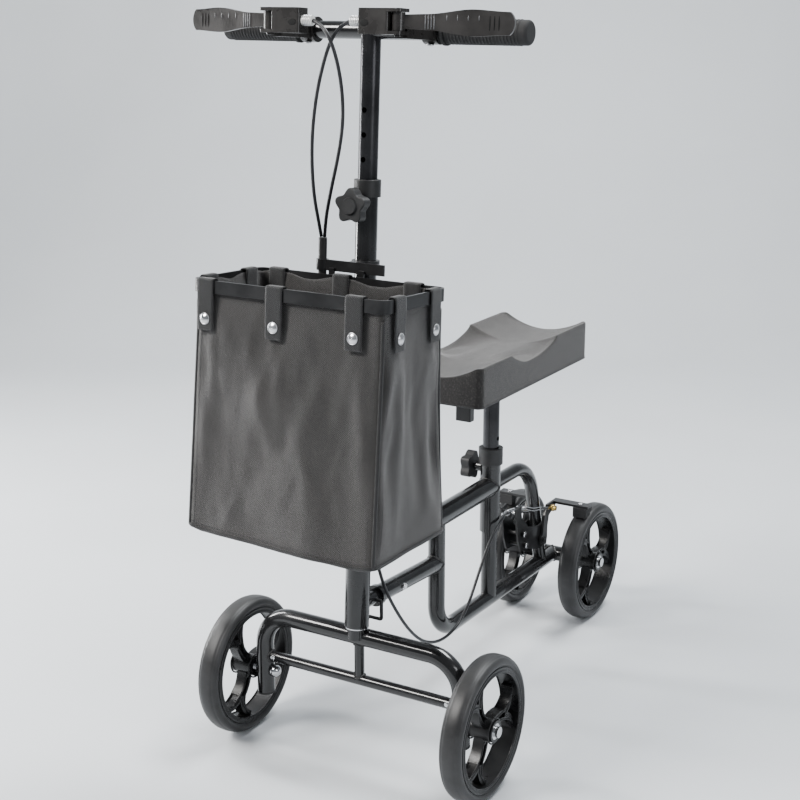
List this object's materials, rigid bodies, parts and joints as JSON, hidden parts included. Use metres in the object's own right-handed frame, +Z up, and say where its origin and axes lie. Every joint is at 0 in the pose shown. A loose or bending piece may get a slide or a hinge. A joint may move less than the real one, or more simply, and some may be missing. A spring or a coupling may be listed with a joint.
{
  "type": "knee scooter",
  "caption": "Knee scooter with a raked steering column on a tube arch, front basket bag, height-adjustable contoured knee pad, tube frame and a lever-operated rear tyre brake.",
  "frame": {"origin": "on the floor, under the middle of the scooter's box", "axes": "+Z up, the front faces -Y, +X is the rider's left"},
  "size_m": [0.4632, 0.9032, 1.0241],
  "materials": {
    "black_frame_paint": "gloss",
    "black_steel_fittings": "satin",
    "dark_inner_tube": "gloss",
    "tyre_rubber": "satin",
    "rim_plastic": "satin",
    "bright_steel": "polished",
    "black_plastic": "satin",
    "lever_plastic": "satin",
    "grip_rubber": "matte",
    "white_plastic": "gloss",
    "cable_sheath": "satin",
    "bag_fabric": "matte",
    "strap_webbing": "matte",
    "pad_cover": "matte",
    "base_board": "matte"
  },
  "bodies": {
    "frame": {"head_tube": "black_frame_paint", "headset_bearings": "bright_steel", "upper_rail": "black_frame_paint", "lower_beam": "black_frame_paint", "loop_tube": "black_frame_paint", "seat_tube": "black_frame_paint", "seat_collar": "black_plastic", "rear_hoop": "black_frame_paint", "rear_cross_tube": "black_frame_paint", "rear_axle_bolts": "bright_steel", "rear_wheel_bearings": "bright_steel", "brake_bracket": "black_steel_fittings", "brake_linkage": "bright_steel", "rear_cable": "cable_sheath"},
    "steering": {"stem_tube": "black_frame_paint", "front_arch": "black_frame_paint", "front_braces": "black_frame_paint", "front_axle_bolts": "bright_steel", "front_wheel_bearings": "bright_steel", "fold_hinge_base": "black_steel_fittings"},
    "column": {"column_tube": "black_frame_paint", "column_collar": "black_plastic", "fold_hinge_head": "black_steel_fittings", "basket_bracket": "black_steel_fittings", "basket_rim": "black_steel_fittings", "basket_bag": "bag_fabric", "basket_straps": "strap_webbing", "basket_snaps": "bright_steel", "cable_splitter": "black_plastic", "fold_cable": "cable_sheath", "upper_cables": "cable_sheath"},
    "handlebar": {"inner_column": "dark_inner_tube", "handlebar": "black_frame_paint", "left_grip": "grip_rubber", "right_grip": "grip_rubber", "left_lever_body": "lever_plastic", "right_lever_body": "lever_plastic", "cable_ferrules": "white_plastic"},
    "left_lever": {"left_brake_lever": "lever_plastic"},
    "right_lever": {"right_brake_lever": "lever_plastic"},
    "fold_lever": {"fold_lever": "black_plastic"},
    "column_knob": {"column_knob": "black_plastic"},
    "seat_knob": {"seat_knob": "black_plastic"},
    "beam_button": {"beam_button": "bright_steel"},
    "brace_latch": {"brace_latch": "black_steel_fittings"},
    "seat": {"seat_post": "dark_inner_tube", "seat_rail": "black_steel_fittings", "seat_base": "base_board", "seat_pad": "pad_cover", "seat_screws": "bright_steel"},
    "brake": {"brake_arms": "black_steel_fittings", "brake_pads": "grip_rubber"},
    "front_left_wheel": {"front_left_tyre": "tyre_rubber", "front_left_rim": "rim_plastic"},
    "front_right_wheel": {"front_right_tyre": "tyre_rubber", "front_right_rim": "rim_plastic"},
    "rear_left_wheel": {"rear_left_tyre": "tyre_rubber", "rear_left_rim": "rim_plastic"},
    "rear_right_wheel": {"rear_right_tyre": "tyre_rubber", "rear_right_rim": "rim_plastic"}
  },
  "joints": [
    {"name": "steering_turn", "type": "hinge", "parent": "frame", "child": "steering", "pos_m": [0, -0.28003, 0.24959], "axis": [0, 0.0576, 0.9983], "range_deg": [-45, 45], "deforming": ["rear_cable"]},
    {"name": "column_fold", "type": "hinge", "parent": "steering", "child": "column", "pos_m": [0, -0.23822, 0.55769], "axis": [-1, 0, 0], "range_deg": [0, 85], "deforming": ["fold_cable"]},
    {"name": "handlebar_height", "type": "slide", "parent": "column", "child": "handlebar", "axis": [0, 0.0576, 0.9983], "range_m": [-0.124, 0.031], "deforming": ["upper_cables"]},
    {"name": "left_lever_pull", "type": "hinge", "parent": "handlebar", "child": "left_lever", "pos_m": [0.092, -0.32442, 1.0084], "axis": [0, 0.0576, 0.9983], "range_deg": [0, 13], "stiffness_Nm_per_rad": 1.2},
    {"name": "right_lever_pull", "type": "hinge", "parent": "handlebar", "child": "right_lever", "pos_m": [-0.092, -0.32442, 1.0084], "axis": [0, -0.0576, -0.9983], "range_deg": [0, 13], "stiffness_Nm_per_rad": 1.2},
    {"name": "fold_lever_swing", "type": "hinge", "parent": "column", "child": "fold_lever", "pos_m": [0, -0.26161, 0.56905], "axis": [1, 0, 0], "range_deg": [0, 110]},
    {"name": "column_knob_turn", "type": "hinge", "parent": "column", "child": "column_knob", "pos_m": [0, -0.27178, 0.77999], "axis": [0, -0.9983, 0.0576], "range_deg": [0, 270]},
    {"name": "seat_knob_turn", "type": "hinge", "parent": "frame", "child": "seat_knob", "pos_m": [-0.024, 0.11058, 0.322], "axis": [-1, 0, 0], "range_deg": [0, 270]},
    {"name": "seat_height", "type": "slide", "parent": "frame", "child": "seat", "axis": [0, 0, -1], "range_m": [-0.05, 0.025]},
    {"name": "brake_swing", "type": "hinge", "parent": "frame", "child": "brake", "pos_m": [0, 0.26908, 0.154], "axis": [-1, 0, 0], "range_deg": [0, 2.4]},
    {"name": "beam_button_press", "type": "slide", "parent": "frame", "child": "beam_button", "axis": [-1, 0, 0], "range_m": [0, 0.003], "stiffness_N_per_m": 400},
    {"name": "brace_latch_swing", "type": "hinge", "parent": "frame", "child": "brace_latch", "pos_m": [0, -0.24794, 0.23271], "axis": [1, 0, 0], "range_deg": [0, 45]},
    {"name": "front_left_wheel_spin", "type": "hinge", "parent": "steering", "child": "front_left_wheel", "pos_m": [0.194, -0.27642, 0.1], "axis": [1, 0, 0], "continuous": true},
    {"name": "front_right_wheel_spin", "type": "hinge", "parent": "steering", "child": "front_right_wheel", "pos_m": [-0.194, -0.27642, 0.1], "axis": [1, 0, 0], "continuous": true},
    {"name": "rear_left_wheel_spin", "type": "hinge", "parent": "frame", "child": "rear_left_wheel", "pos_m": [0.069, 0.35158, 0.1], "axis": [1, 0, 0], "continuous": true},
    {"name": "rear_right_wheel_spin", "type": "hinge", "parent": "frame", "child": "rear_right_wheel", "pos_m": [-0.069, 0.35158, 0.1], "axis": [1, 0, 0], "continuous": true}
  ],
  "couplings": [
    {"joint": "brake_swing", "follows": "left_lever_pull", "ratio": 0.18462}
  ]
}
